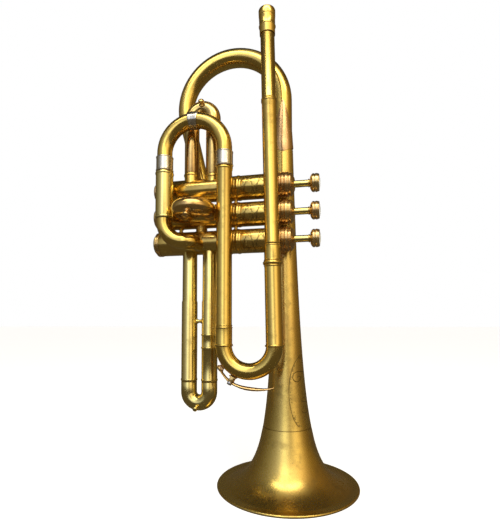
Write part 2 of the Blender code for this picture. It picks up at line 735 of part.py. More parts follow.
def strip(points, width, depth):
    """A bent strip whose middle passes through points in a plane of constant y."""
    bm = bmesh.new()
    sections = []
    for index, point in enumerate(points):
        before = points[max(index - 1, 0)]
        after = points[min(index + 1, len(points) - 1)]
        along = (after - before).normalized()
        normal = Vector((-along.z, 0, along.x)) * depth / 2
        across = front * width / 2
        corners = (normal + across, normal - across, -normal - across, across - normal)
        sections.append([bm.verts.new(point + corner) for corner in corners])
    for section, following in zip(sections, sections[1:]):
        for side in range(4):
            other = (side + 1) % 4
            bm.faces.new((section[side], section[other], following[other], following[side]))
    bm.faces.new(sections[0])
    bm.faces.new(sections[-1])
    return bm


def addWaterKey(parent):
    bowCentreLine = (mouthpipeFootX - frontLegX) / 2
    outside = bowCentreLine + frontBowRadius
    pivot = bowSpot(keyPivotAngle, outside + keyPivotDrop)
    motion = addEmpty("water_key_motion", pivot, parent)

    # nipple seat at the bow, and the cork that closes it
    nozzle = bowSpot(keyCupAngle, outside + gap)
    outward = Vector((cos(keyCupAngle), 0, sin(keyCupAngle)))
    cork = turned([(0, corkRadius), (corkThickness, corkRadius)], nozzle, outward, False, 12)
    addObject("water_key_cork", cork, "cork", motion, pivot).location = Vector()

    # the lever: a strip from over the cork to the thumb end, with a knuckle round the pin
    depth = 0.0014
    points = []
    for step in range(4):
        share = step / 3
        angle = keyCupAngle + (keyPivotAngle - keyCupAngle) * share
        points.append(bowSpot(angle, outside + keyCupDrop + (keyPivotDrop - keyCupDrop) * share))
    for turn, drop in keyTail.items():
        points.append(bowSpot(radians(turn), outside + drop))
    lever = addObject("water_key_lever", strip(points, keyWidth, depth), "copper_brass", motion, pivot)
    lever.location = Vector()
    for name, radius, operation in (("knuckle", knuckleRadius, "UNION"),
                                    ("eye", keyPinRadius + gap, "DIFFERENCE")):
        reach = keyWidth / 2 if operation == "UNION" else keyWidth
        body = turned([(-reach, radius), (reach, radius)], Vector(), front, False, 12)
        cut(lever, addCutter("water_key_" + name, body, motion), operation)

    # saddle: a foot on the bow with an ear at each side of the knuckle
    out = (pivot - bowSpot(keyPivotAngle, outside)).normalized()
    along = Vector((-out.z, 0, out.x))
    foot = bowSpot(keyPivotAngle, outside + gap + footThickness / 2)
    cheek = keyWidth / 2 + gap
    base = strip([foot - along * 0.0028, foot + along * 0.0028], 2 * (cheek + earThickness), footThickness)
    saddle = addObject("water_key_saddle", base, "copper_brass", parent)
    for side in (-1, 1):
        middle = front * side * (cheek + earThickness / 2)
        ear = strip([foot + middle, pivot + out * 0.0018 + middle], earThickness, 0.0036)
        cut(saddle, addCutter("water_key_ear_" + str(side + 2), ear, parent), "UNION")
    reach = cheek + earThickness + 0.0008
    eye = turned([(-reach, keyPinRadius + gap), (reach, keyPinRadius + gap)], pivot, front, False, 12)
    cut(saddle, addCutter("water_key_saddle_eye", eye, parent))
    pin = turned([(-reach, keyPinRadius), (reach, keyPinRadius)], pivot, front, False, 10)
    addObject("water_key_pin", pin, "spring_steel", parent)


def addBraces(parent):
    """Flat pieces soldered between neighbours: bell to casings, mouthpipe to casings."""
    back = valvePlane + capRadius + gap
    height = valveHeight(3) - 0.006
    tail = -bellRadius(height) - gap
    bm = bmesh.new()
    half = (0.0060, 0.0130)
    rim = [Vector((half[0], 0, 0)), Vector((0, 0, half[1]))]
    rim += [-spot for spot in rim]
    centre = Vector((-0.0035, 0, height + 0.002))
    rings = []
    for y in (back, tail):
        rings.append([bm.verts.new(centre + spot + Vector((0, y, 0))) for spot in rim])
    for side in range(4):
        other = (side + 1) % 4
        bm.faces.new((rings[0][side], rings[0][other], rings[1][other], rings[1][side]))
    bm.faces.new(rings[0])
    bm.faces.new(list(reversed(rings[1])))
    addObject("bell_brace", bm, "aged_brass", parent)

    spot = mouthpipePoint(valveHeight(2))
    bm = bmesh.new()
    near = frontPlane + mouthpipeRadius + gap
    far = valvePlane - casingRadius - gap
    size = Matrix.Diagonal((0.0060, far - near, 0.0070, 1))
    place = Matrix.Translation(Vector((spot.x - 0.002, (near + far) / 2, spot.z)))
    bmesh.ops.create_cube(bm, size=1, matrix=place @ size)
    addObject("mouthpipe_brace", bm, "aged_brass", parent)


# ---- the whole instrument -----------------------------------------------------------------------


def main():
    for old in list(bpy.data.objects):
        bpy.data.objects.remove(old)
    nearest = secondSlideReach - slideTubeRadius
    middle = Vector((bellRimRadius + bottomCapEnd, bellRimRadius + min(nearest, -bellRimRadius), 0)) / 2
    cornet = addEmpty("cornet", -middle)
    envelopes = {number: addValve(number, cornet) for number in (1, 2, 3)}
    addWindways(cornet, envelopes)
    addBell(cornet)
    addBellBow(cornet, envelopes[1])
    addMouthpipe(cornet)
    addFrontBow(cornet)
    addTuningSlide(cornet, addEmpty("tuning_slide_motion", Vector(), cornet), envelopes[3])
    addFirstSlide(cornet, addEmpty("first_slide_motion", Vector(), cornet), envelopes[1])
    addSecondSlide(cornet, addEmpty("second_slide_motion", Vector(), cornet), envelopes[2])
    addThirdSlide(cornet, addEmpty("third_slide_motion", Vector(), cornet), envelopes[3])
    addWaterKey(cornet)
    addBraces(cornet)


main()
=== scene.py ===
from math import atan2, ceil, cos, exp, pi, radians, sin, tan

import bpy
import bmesh
from mathutils import Matrix, Quaternion, Vector


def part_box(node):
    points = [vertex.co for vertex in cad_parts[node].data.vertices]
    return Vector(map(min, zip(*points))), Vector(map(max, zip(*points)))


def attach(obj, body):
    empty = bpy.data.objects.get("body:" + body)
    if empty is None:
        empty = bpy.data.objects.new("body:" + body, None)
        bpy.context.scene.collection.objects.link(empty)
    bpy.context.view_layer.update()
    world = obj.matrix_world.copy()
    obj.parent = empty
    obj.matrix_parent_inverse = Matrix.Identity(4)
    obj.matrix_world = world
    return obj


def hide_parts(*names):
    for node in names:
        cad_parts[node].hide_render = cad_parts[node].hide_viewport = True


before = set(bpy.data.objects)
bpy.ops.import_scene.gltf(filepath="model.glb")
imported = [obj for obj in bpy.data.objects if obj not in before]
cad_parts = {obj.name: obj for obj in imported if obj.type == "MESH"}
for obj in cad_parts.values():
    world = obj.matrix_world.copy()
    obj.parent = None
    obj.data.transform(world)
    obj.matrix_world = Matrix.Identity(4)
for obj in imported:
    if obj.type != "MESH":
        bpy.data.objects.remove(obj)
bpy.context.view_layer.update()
lowFlare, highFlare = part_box("bell_flare")
bellAxis = Vector(((lowFlare[0] + highFlare[0]) / 2, (lowFlare[1] + highFlare[1]) / 2, 0))
mm = 0.001
up, down = Vector((0, 0, 1)), Vector((0, 0, -1))
east, front = Vector((1, 0, 0)), Vector((0, -1, 0))


def at(x, y, z):  # millimetres from the bell's axis, on the floor
    return bellAxis + Vector((x, y, z)) * mm


# camera and studio

cameraPlace = {"spot": (40.0, -330.8, 133.9), "pitch": 0.0506, "yaw": 0.2087, "lens": 27.79,
               "shift": (-0.0048, 0.0858)}
lens = bpy.data.cameras.new("camera")
lens.lens = cameraPlace["lens"]
lens.sensor_width = 36
lens.sensor_fit = "HORIZONTAL"
lens.shift_x, lens.shift_y = cameraPlace["shift"]
camera = bpy.data.objects.new("camera", lens)
camera.location = at(*cameraPlace["spot"])
camera.rotation_euler = (pi / 2 + cameraPlace["pitch"], 0, cameraPlace["yaw"])
bpy.context.collection.objects.link(camera)
bpy.context.scene.camera = camera
bpy.context.scene.view_settings.view_transform = "Standard"

studio = {
    "overhead": {"spot": (60, -560, 1000), "aim": (0, 0, 200), "size": (1.3, 0.16), "power": 3.4,
                 "colour": (1.0, 0.97, 0.82)},
    "highFront": {"spot": (120, -760, 900), "aim": (0, 0, 30), "size": (0.9, 0.9), "power": 3.2,
                  "colour": (1.0, 0.93, 0.74)},
}


def addStudio():
    for name, panel in studio.items():
        light = bpy.data.lights.new(name, "AREA")
        light.shape = "RECTANGLE"
        light.size, light.size_y = panel["size"]
        light.energy = panel["power"]
        light.color = panel["colour"]
        lamp = bpy.data.objects.new(name, light)
        lamp.location = at(*panel["spot"])
        lamp.rotation_euler = (at(*panel["aim"]) - lamp.location).to_track_quat("-Z", "Y").to_euler()
        bpy.context.collection.objects.link(lamp)


# shader tools

def operator(operation, swapped=False):  # a method that adds one Math node
    def worked(self, other):
        return self.work(operation, *((other, self) if swapped else (self, other)))
    return worked


class Amount:  # a number that varies over a surface
    def __init__(self, sheet, socket):
        self.sheet = sheet
        self.socket = socket

    def work(self, operation, first, second=0.0):
        return self.sheet.number("ShaderNodeMath", {"operation": operation}, {0: first, 1: second})

    def apply(self, operation):
        return self.work(operation, self)

    __add__, __radd__ = operator("ADD"), operator("ADD", True)
    __sub__, __rsub__ = operator("SUBTRACT"), operator("SUBTRACT", True)
    __mul__, __rmul__ = operator("MULTIPLY"), operator("MULTIPLY", True)
    __truediv__, __pow__ = operator("DIVIDE"), operator("POWER")
    __gt__, __lt__ = operator("GREATER_THAN"), operator("LESS_THAN")
    most, least = operator("MAXIMUM"), operator("MINIMUM")

    def between(self, low, high):  # 0 below low, 1 above high, smooth between
        settings = {"interpolation_type": "SMOOTHSTEP"}
        values = {"Value": self, "From Min": low, "From Max": high}
        return self.sheet.number("ShaderNodeMapRange", settings, values)


class Sheet:  # the nodes of one material
    def __init__(self, name):
        self.material = bpy.data.materials.new(name)
        self.material.use_nodes = True
        self.tree = self.material.node_tree
        self.shader = self.tree.nodes["Principled BSDF"]
        self.coords = self.node("ShaderNodeTexCoord").outputs["Object"]

    def node(self, kind, settings=None, values=None):
        made = self.tree.nodes.new(kind)
        for key, value in (settings or {}).items():
            setattr(made, key, value)
        for key, value in (values or {}).items():
            self.feed(made.inputs[key], value)
        return made

    def feed(self, socket, value):
        value = value.socket if isinstance(value, Amount) else value
        if isinstance(value, bpy.types.NodeSocket):
            self.tree.links.new(value, socket)
        else:
            socket.default_value = value

    def number(self, kind, settings=None, values=None):
        return Amount(self, self.node(kind, settings, values).outputs[0])

    def placed(self, centre=(0, 0, 0), stretch=(1, 1, 1)):
        spot = bellAxis + Vector(centre) * mm
        shift = tuple(-spot[i] * stretch[i] for i in range(3))
        return self.node("ShaderNodeMapping", {},
                         {"Vector": self.coords, "Location": shift, "Scale": stretch}).outputs[0]

    def noise(self, scale, detail=4, stretch=(1, 1, 1), rough=0.55, offset=0):
        where = self.placed((offset * 37, offset * 11, offset * 23), stretch)
        return self.number("ShaderNodeTexNoise", {},
                           {"Vector": where, "Scale": scale, "Detail": detail, "Roughness": rough})

    def specks(self, scale, stretch=(1, 1, 1)):
        return self.number("ShaderNodeTexVoronoi", {}, {"Vector": self.placed(stretch=stretch), "Scale": scale})

    def axes(self, centre=(0, 0, 0)):
        split = self.node("ShaderNodeSeparateXYZ", {}, {0: self.placed(centre)})
        return [Amount(self, output) for output in split.outputs]

    def mix(self, share, first, second):
        made = self.node("ShaderNodeMix", {"data_type": "RGBA"})
        self.feed(made.inputs[0], share)
        self.feed(made.inputs[6], first)
        self.feed(made.inputs[7], second)
        return made.outputs[2]

    def relief(self, *layers):  # layers of (height, depth in metres), finest last
        normal = None
        for height, depth in layers:
            bump = self.node("ShaderNodeBump", {}, {"Strength": 1.0, "Distance": depth, "Height": height})
            if normal is not None:
                self.feed(bump.inputs["Normal"], normal)
            normal = bump.outputs[0]
        self.feed(self.shader.inputs["Normal"], normal)

    def finishWith(self, colour, rough, metal):
        self.feed(self.shader.inputs["Base Color"], colour)
        self.feed(self.shader.inputs["Roughness"], rough)
        self.feed(self.shader.inputs["Metallic"], metal)
        return self.material


# metals: colours are linear

metals = {
    "tubeBrass": {"clean": (0.76, 0.53, 0.13), "deep": (0.24, 0.17, 0.04), "red": (0.66, 0.39, 0.11),
                  "rough": 0.19,
                  "tarnish": 0.60, "redness": 0.35, "grain": (1, 1, 0.06), "dents": 0.5},
    "bellBrass": {"clean": (0.76, 0.53, 0.14), "deep": (0.28, 0.19, 0.06), "red": (0.66, 0.39, 0.12),
                  "rough": 0.27,
                  "tarnish": 0.60, "redness": 0.35, "grain": (1, 1, 0.25), "dents": 1.0},
    "casingBrass": {"clean": (0.72, 0.50, 0.13), "deep": (0.20, 0.14, 0.04), "red": (0.60, 0.36, 0.10),
                    "rough": 0.20,
                    "tarnish": 0.75, "redness": 0.40, "grain": (0.06, 1, 1), "dents": 0.5},
    "capCopper": {"clean": (0.72, 0.50, 0.20), "deep": (0.22, 0.14, 0.06), "red": (0.62, 0.36, 0.17),
                  "rough": 0.24,
                  "tarnish": 0.75, "redness": 0.60, "grain": (1, 1, 1), "dents": 0.3},
    "buttonBrass": {"clean": (0.80, 0.60, 0.28), "deep": (0.34, 0.22, 0.10), "red": (0.72, 0.46, 0.22),
                    "rough": 0.24,
                    "tarnish": 0.45, "redness": 0.50, "grain": (1, 1, 1), "dents": 0.3},
    "crookCopper": {"clean": (0.74, 0.50, 0.17), "deep": (0.22, 0.15, 0.05), "red": (0.66, 0.38, 0.16),
                    "rough": 0.20,
                    "tarnish": 0.65, "redness": 0.60, "grain": (1, 1, 0.2), "dents": 0.4},
    "roseBrass": {"clean": (0.78, 0.50, 0.24), "deep": (0.34, 0.20, 0.08), "red": (0.70, 0.40, 0.19),
                  "rough": 0.26,
                  "tarnish": 0.45, "redness": 0.60, "grain": (1, 1, 0.2), "dents": 0.4},
    "slideBrass": {"clean": (0.78, 0.62, 0.22), "deep": (0.26, 0.19, 0.06), "red": (0.66, 0.46, 0.15),
                   "rough": 0.19,
                   "tarnish": 0.55, "redness": 0.15, "grain": (1, 1, 0.05), "dents": 0.4},
    "nickel": {"clean": (0.70, 0.64, 0.53), "deep": (0.30, 0.25, 0.17), "red": (0.64, 0.52, 0.38),
               "rough": 0.20,
               "tarnish": 0.60, "redness": 0.30, "grain": (1, 1, 0.3), "dents": 0.3},
    "steel": {"clean": (0.55, 0.55, 0.55), "deep": (0.25, 0.22, 0.18), "red": (0.5, 0.42, 0.35), "rough": 0.30,
              "tarnish": 0.40, "redness": 0.10, "grain": (1, 1, 1), "dents": 0.2},
}


def metalSheet(name, look):
    sheet = Sheet(name)
    clouds = sheet.noise(26, 5)                                   # broad patches of patina
    stain = sheet.noise(95, 8, rough=0.68, offset=1)              # mottled tarnish
    fine = sheet.noise(620, 5, rough=0.6, offset=2)
    hairs = sheet.noise(900, 3, stretch=look["grain"], rough=0.7, offset=3)
    pits = sheet.specks(420)
    red = clouds.between(0.44, 0.66) * look["redness"]
    tarnish = (stain.between(0.50, 0.74) * 0.8 + fine.between(0.55, 0.8) * 0.35) * look["tarnish"]
    spots = pits.between(0.20, 0.10) * stain.between(0.48, 0.60) * look["tarnish"]
    dark = (tarnish + spots * 0.6).least(0.9)
    warm = sheet.mix(red, (*look["clean"], 1), (*look["red"], 1))
    colour = sheet.mix(dark, warm, (*look["deep"], 1))
    rough = look["rough"] + dark * 0.22 + (hairs - 0.5) * 0.10 + (clouds - 0.5) * 0.08
    metal = 1.0 - spots * 0.5
    return sheet, colour, rough, metal, [(clouds, 0.00030 * look["dents"]), (stain, 0.000018),
                                         (hairs, 0.000004)]


def plainMetal(name):
    sheet, colour, rough, metal, layers = metalSheet(name, metals[name])
    sheet.relief(*layers)
    return sheet.finishWith(colour, rough, metal)


def scrollLines(sheet, across, along, scrolls):
    # engraved coils: a thin line that winds in to each centre, within a radius
    lines = None
    for x, z, radius, pitch, turn in scrolls:
        dx, dz = across - x, along - z
        reach = (dx * dx + dz * dz).apply("SQRT")
        angle = sheet.number("ShaderNodeMath", {"operation": "ARCTAN2"}, {0: dz, 1: dx * turn})
        phase = (reach / pitch + angle / (2 * pi)).apply("FRACT")
        line = (phase - 0.5).apply("ABSOLUTE").between(0.12, 0.05)
        inside = reach.between(radius, radius * 0.92)
        line = line * inside
        lines = line if lines is None else lines.most(line)
    return lines


# scrolls: (across, up, radius, pitch, turn), in metres
engraving = {"scrolls": [(0.0105, 0.0905, 0.0062, 0.0040, 1), (0.0150, 0.0730, 0.0040, 0.0030, -1),
                         (0.0165, 0.0640, 0.0034, 0.0026, 1), (0.0120, 0.1080, 0.0026, 0.0024, -1)],
             "foot": 0.052, "top": 0.108, "depth": 0.00010}


def bellMaterial():
    sheet, colour, rough, metal, layers = metalSheet("bellBrass", metals["bellBrass"])
    x, y, z = sheet.axes()
    facing = y < 0.0
    cut = scrollLines(sheet, x, z, engraving["scrolls"]) * facing
    # a beaded frame bends round the scrolls
    bend = 0.0165 - (1.0 - ((z - 0.080) / 0.030) ** 2.0).most(0.0).apply("SQRT") * 0.0130
    framed = (z > engraving["foot"]) * (z < engraving["top"]) * facing
    frameLine = (x - bend).apply("ABSOLUTE").between(0.00045, 0.0002) * framed
    beadRow = (x - bend - 0.0014).apply("ABSOLUTE").between(0.0010, 0.0006) * framed
    beads = sheet.specks(650).between(0.45, 0.30) * beadRow
    worn = cut.most(frameLine).most(beads * 0.8) * (0.45 + sheet.noise(160, 3, offset=4) * 0.7)
    colour = sheet.mix(worn * 0.9, colour, (0.09, 0.05, 0.015, 1))
    ringStain = (z - 0.049).apply("ABSOLUTE").between(0.0007, 0.0002) * 0.35
    colour = sheet.mix(ringStain, colour, (0.16, 0.09, 0.03, 1))
    sheet.relief(*layers, (1.0 - worn, engraving["depth"]))
    return sheet.finishWith(colour, rough + worn * 0.15, metal)


def casingMaterial():
    sheet, colour, rough, metal, layers = metalSheet("casingBrass", metals["casingBrass"])
    x, y, height = sheet.axes((0, -22, 0))
    z = ((height - 0.19195) / 0.0225).apply("FRACT") * 0.0225 - 0.01125
    # a wreath of pointed leaves engraved round the spring barrel
    along = x + 0.019
    around = sheet.number("ShaderNodeMath", {"operation": "ARCTAN2"}, {0: z, 1: -1.0 * y}) * 0.0098
    lines = None
    for shift, slope in ((0.0, 1.0), (0.0052, -1.0)):
        cell = ((along + around * slope * 0.55 + shift) / 0.0104).apply("FRACT") - 0.5
        leaf = cell.apply("ABSOLUTE") * 0.0104 - around.apply("ABSOLUTE") * 0.30
        edge = leaf.apply("ABSOLUTE").between(0.00045, 0.00018)
        lines = edge if lines is None else lines.most(edge)
    rows = (around.apply("ABSOLUTE") - 0.0072).apply("ABSOLUTE").between(0.00040, 0.00018)
    band = along.apply("ABSOLUTE").between(0.0128, 0.0122)
    cut = lines.most(rows) * band * (0.4 + sheet.noise(200, 3, offset=5) * 0.7)
    colour = sheet.mix(cut * 0.85, colour, (0.09, 0.06, 0.015, 1))
    sheet.relief(*layers, (1.0 - cut, 0.00008))
    return sheet.finishWith(colour, rough, metal)


def pearlMaterial():
    sheet = Sheet("pearl")
    swirl = sheet.noise(240, 3, rough=0.4)
    depth = sheet.noise(900, 5, offset=2)
    colour = sheet.mix(swirl.between(0.35, 0.65), (0.62, 0.64, 0.55, 1), (0.86, 0.84, 0.78, 1))
    colour = sheet.mix(depth.between(0.6, 0.8) * 0.35, colour, (0.42, 0.44, 0.36, 1))
    sheet.relief((swirl, 0.0001))
    return sheet.finishWith(colour, 0.16 + depth * 0.12, 0.0)


def corkMaterial():
    sheet = Sheet("cork")
    grain = sheet.noise(1400, 6, rough=0.7)
    cells = sheet.specks(1800)
    colour = sheet.mix(grain.between(0.4, 0.65), (0.30, 0.17, 0.08, 1), (0.52, 0.34, 0.18, 1))
    sheet.relief((grain + cells * 0.4, 0.0002))
    return sheet.finishWith(colour, 0.8 + grain * 0.1, 0.0)


tubeBrass = plainMetal("tubeBrass")
slideBrass = plainMetal("slideBrass")
capCopper = plainMetal("capCopper")
buttonBrass = plainMetal("buttonBrass")
crookCopper = plainMetal("crookCopper")
roseBrass = plainMetal("roseBrass")
nickel = plainMetal("nickel")
steel = plainMetal("steel")
bellBrass = bellMaterial()
casingBrass = casingMaterial()
pearl = pearlMaterial()
cork = corkMaterial()
print("materials made")


# modelling tools

def smoothed(bm, name, material, body, nodes, soften=0.12, creases=32):
    bmesh.ops.remove_doubles(bm, verts=bm.verts, dist=0.000004)
    bmesh.ops.recalc_face_normals(bm, faces=bm.faces)
    if soften:
        sharp = [e for e in bm.edges if len(e.link_faces) == 2 and e.calc_face_angle(0) > radians(creases)]
        bmesh.ops.bevel(bm, geom=sharp, offset=soften * mm, segments=2, profile=0.5, affect="EDGES",
                        material=-1,
                        clamp_overlap=True)
    mesh = bpy.data.meshes.new(name)
    bm.to_mesh(mesh)
    bm.free()
    mesh.materials.append(material)
    mesh.shade_smooth()
    mesh.set_sharp_from_angle(angle=radians(50))
    made = bpy.data.objects.new(name, mesh)
    bpy.context.collection.objects.link(made)
    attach(made, body)
    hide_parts(*nodes)
    return made


def lathe(profile, base, axis, sides=72):
    # profile: (distance along the axis, radius) in millimetres, a closed loop unless it starts on the axis
    bm = bmesh.new()
    across = axis.orthogonal().normalized()
    verts = [bm.verts.new(base + axis * along * mm + across * radius * mm) for along, radius in profile]
    edges = [bm.edges.new(pair) for pair in zip(verts, verts[1:])]
    if profile[0][1] > 0:
        edges.append(bm.edges.new((verts[-1], verts[0])))
    bmesh.ops.spin(bm, geom=verts + edges, cent=base, axis=axis, angle=2 * pi, steps=sides, use_merge=True,
                   use_duplicate=False)
    return bm


def rounded(points, rounds, steps=8):  # spots and headings along a line with rounded corners, millimetres
    points = [Vector(p) for p in points]
    path = [(points[0], (points[1] - points[0]).normalized())]
    for before, corner, after, radius in zip(points, points[1:], points[2:], rounds):
        inward, outward = (corner - before).normalized(), (after - corner).normalized()
        angle = inward.angle(outward)
        axis = inward.cross(outward).normalized()
        start = corner - inward * radius * tan(angle / 2)
        centre = start + axis.cross(inward) * radius
        count = max(3, ceil(steps * angle / (pi / 2)))
        for step in range(count + 1):
            turn = Quaternion(axis, angle * step / count)
            path.append((centre + turn @ (start - centre), turn @ inward))
    path.append((points[-1], (points[-1] - points[-2]).normalized()))
    return path


def grow(bm, edges, matrix):  # extrudes open edges, moves the new ones and gives them back
    grown = bmesh.ops.extrude_edge_only(bm, edges=edges)["geom"]
    verts = {g for g in grown if isinstance(g, bmesh.types.BMVert)}
    bmesh.ops.transform(bm, matrix=matrix, verts=list(verts))
    return [g for g in grown if isinstance(g, bmesh.types.BMEdge) and verts.issuperset(g.verts)]


def pipe(path, radii, sides=40, bore=0):
    # a tube skinned along a path; radii are (share of the length, radius); a bore opens it
    heading = path[0][1]
    turn = up.rotation_difference(heading)
    lengths = [0.0]
    for (spot, _), (following, _) in zip(path, path[1:]):
        lengths.append(lengths[-1] + (following - spot).length)
    places, sizes = [], []
    for (spot, following), run in zip(path, lengths):
        turn = heading.rotation_difference(following) @ turn
        heading = following
        places.append(Matrix.Translation(bellAxis + spot * mm) @ turn.to_matrix().to_4x4())
        sizes.append(between(radii, run / lengths[-1]) * mm)
    stations = list(zip(places, sizes))
    if bore:
        stations += [(place, size - bore * mm) for place, size in reversed(stations)] + stations[:1]
    bm = bmesh.new()
    bmesh.ops.create_circle(bm, segments=sides, radius=stations[0][1], matrix=stations[0][0])
    first = edges = list(bm.edges)
    for (place, size), (nextPlace, nextSize) in zip(stations, stations[1:]):
        edges = grow(bm, edges, nextPlace @ Matrix.Scale(nextSize / size, 4) @ place.inverted())
    if not bore:
        bmesh.ops.holes_fill(bm, edges=first + edges, sides=0)
    return bm


def between(pairs, share):
    for (low, first), (high, second) in zip(pairs, pairs[1:]):
        if share <= high:
            return first + (second - first) * (share - low) / (high - low)
    return pairs[-1][1]


def ring(centre, width, radius, proud, steps=6):  # profile points of a rounded bead round a tube
    points = [(centre - width / 2, radius)]
    for step in range(1, steps):
        turn = pi * step / steps
        points.append((centre - cos(turn) * width / 2, radius + proud * sin(turn) ** 0.8))
    points.append((centre + width / 2, radius))
    return points


def joined(first, *others):
    for other in others:
        spare = bpy.data.meshes.new("spare")
        other.to_mesh(spare)
        other.free()
        first.from_mesh(spare)
        bpy.data.meshes.remove(spare)
    return first


def shell(outer, bore):  # a sleeve's closed profile from its outer line
    return [(outer[0][0], bore)] + outer + [(outer[-1][0], bore)]
def boxOf(node):  # a part's middle and size
    low, high = (Vector(corner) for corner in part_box(node))
    return (low + high) / 2, high - low


def addBlock(bm, middle, size, turn=Matrix.Identity(4)):
    bmesh.ops.create_cube(bm, size=1, matrix=Matrix.Translation(middle) @ turn @ Matrix.Diagonal((*size, 1)))

# the bell

bell = {"rim": 59.0, "bead": 1.15, "seam": 49.0, "tail": 286.0, "lean": -2.4, "wall": 0.5,
        "scale": 217.1, "throat": 11.71, "power": 0.59, "floor": 1.085, "lip": 7.0, "lipReach": 3.5}


def bellRadius(z):
    flare = bell["scale"] * (z + bell["throat"]) ** -bell["power"]
    return flare + bell["floor"] + bell["lip"] * exp(-z / bell["lipReach"])


def stemSpot(z):
    return Vector((bell["lean"] * max(0.0, (z - bell["seam"]) / (bell["tail"] - bell["seam"])), 0, z))


def makeBell():
    heights = [1.8 * 1.13 ** step for step in range(26)]  # closer together near the rim
    heights = [h for h in heights if h < bell["seam"] - 1.6] + [bell["seam"] - 1.2]
    centre = bell["rim"] - bell["bead"]
    rim = [(bell["bead"] * (1 - cos(turn)), centre - bell["bead"] * sin(turn))
           for turn in (radians(d) for d in range(40, -201, -20))]
    outer = [(h, bellRadius(h)) for h in heights]
    seam = [(bell["seam"] - 0.15, bellRadius(bell["seam"]) + 0.02)]
    inner = []
    for h in reversed(heights + [bell["seam"] - 0.15]):
        slope = (bellRadius(h + 0.1) - bellRadius(h - 0.1)) / 0.2
        share = bell["wall"] / (1 + slope * slope) ** 0.5
        inner.append((h + slope * share, bellRadius(h) - share))
    bm = lathe(rim + outer + seam + inner, at(0, 0, 0), up, 144)
    smoothed(bm, "bellFlare", bellBrass, "instrument", ["bell_flare"], soften=0)

    heights = [bell["seam"] + 0.15 + (bell["tail"] - bell["seam"]) * (step / 40) ** 1.3 for step in range(41)]
    path = [(stemSpot(h), up) for h in heights]
    run = heights[-1] - heights[0]
    radii = [((h - heights[0]) / run, bellRadius(h)) for h in heights]
    smoothed(pipe(path, radii, 72, bore=bell["wall"]), "bellStem", bellBrass, "instrument",
             ["bell_stem"],
             soften=0)


bow = {"radius": 45.3, "crown": 377.6, "tuck": 14.0, "port": 11.5,
       "radii": [(0, 7.95), (0.45, 7.8), (0.75, 6.9), (1, 6.4)]}


def makeBellBow():
    top = stemSpot(bell["tail"])
    centre = Vector((top.x - bow["radius"], 0, bow["crown"] - bow["radius"]))
    path = [(Vector((top.x, 0, bell["tail"] + 0.3)), up)]
    arc = pi + radians(bow["tuck"])
    for step in range(41):
        turn = arc * step / 40
        spot = centre + Vector((cos(turn), 0, sin(turn))) * bow["radius"]
        path.append((spot, Vector((-sin(turn), 0, cos(turn)))))
    spot, heading = path[-1]
    corner = spot + heading * (spot.z - 248.2) / -heading.z
    port = Vector((corner.x, -12.0, 248.2))
    path += rounded([spot, corner, port], [bow["port"]], 12)[1:]
    smoothed(pipe(path, bow["radii"], 48), "bellBow", tubeBrass, "instrument", ["bell_bow"],
             soften=0)
    profile = [(0, 9.0), (9.0, 8.75), (17.0, 8.22), (17.5, 8.15), (17.5, 7.7), (9.0, 8.1), (0, 8.5)]
    bm = lathe(profile, at(top.x, 0, 282.7), up, 96)
    for vert in bm.verts:
        turn = abs(atan2(vert.co.x - bellAxis.x - top.x * mm, bellAxis.y - vert.co.y) - 0.12) / (pi / 2)
        height = vert.co.z - 0.2827
        if height < 0.001:  # the lower edge comes to a point at the front
            vert.co.z += 0.0060 * min(turn, 1.0)
        elif height > 0.016:  # and the upper one runs out in a long point
            vert.co.z += 0.030 * max(0.0, 1 - turn) ** 1.3
    smoothed(bm, "bellBowFerrule", roseBrass, "instrument", ["bell_bow_ferrule"], soften=0.1)


# valves

# beads between casing and spring barrel: (place, width, how proud)
valve = {"heights": {1: 248.2, 2: 225.7, 3: 203.2}, "y": -22.0, "casing": 9.85, "barrel": 9.95, "cap": 10.2,
         "groove": -0.12, "spigot": 9.2,
         "beads": [(-46.6, 1.2, 0.18), (-43.6, 2.6, 0.55), (-41.0, 1.2, 0.25), (-39.2, 1.2, 0.25),
                   (-36.6, 2.6, 0.55)]}


def makeCasing(label, base):
    casing, barrel, groove, spigot = (valve[key] for key in ("casing", "barrel", "groove", "spigot"))
    outer = [(-107.5, spigot), (-104.6, spigot), (-104.6, casing), (-96.0, casing)]
    outer += ring(-95.2, 0.5, casing, groove) + ring(-94.2, 0.5, casing, groove) + [(-47.5, casing)]
    for centre, width, proud in valve["beads"]:
        outer += ring(centre, width, casing, proud)
    outer += [(-34.6, barrel)] + ring(-33.6, 0.5, barrel, groove) + ring(-5.6, 0.5, barrel, groove)
    outer += [(-3.4, barrel), (-3.4, spigot), (-0.4, spigot)]
    smoothed(lathe(shell(outer, 8.5), base, east, 72), "valveCasing" + label, casingBrass, "instrument",
             ["valve_casing_" + label], soften=0.06)


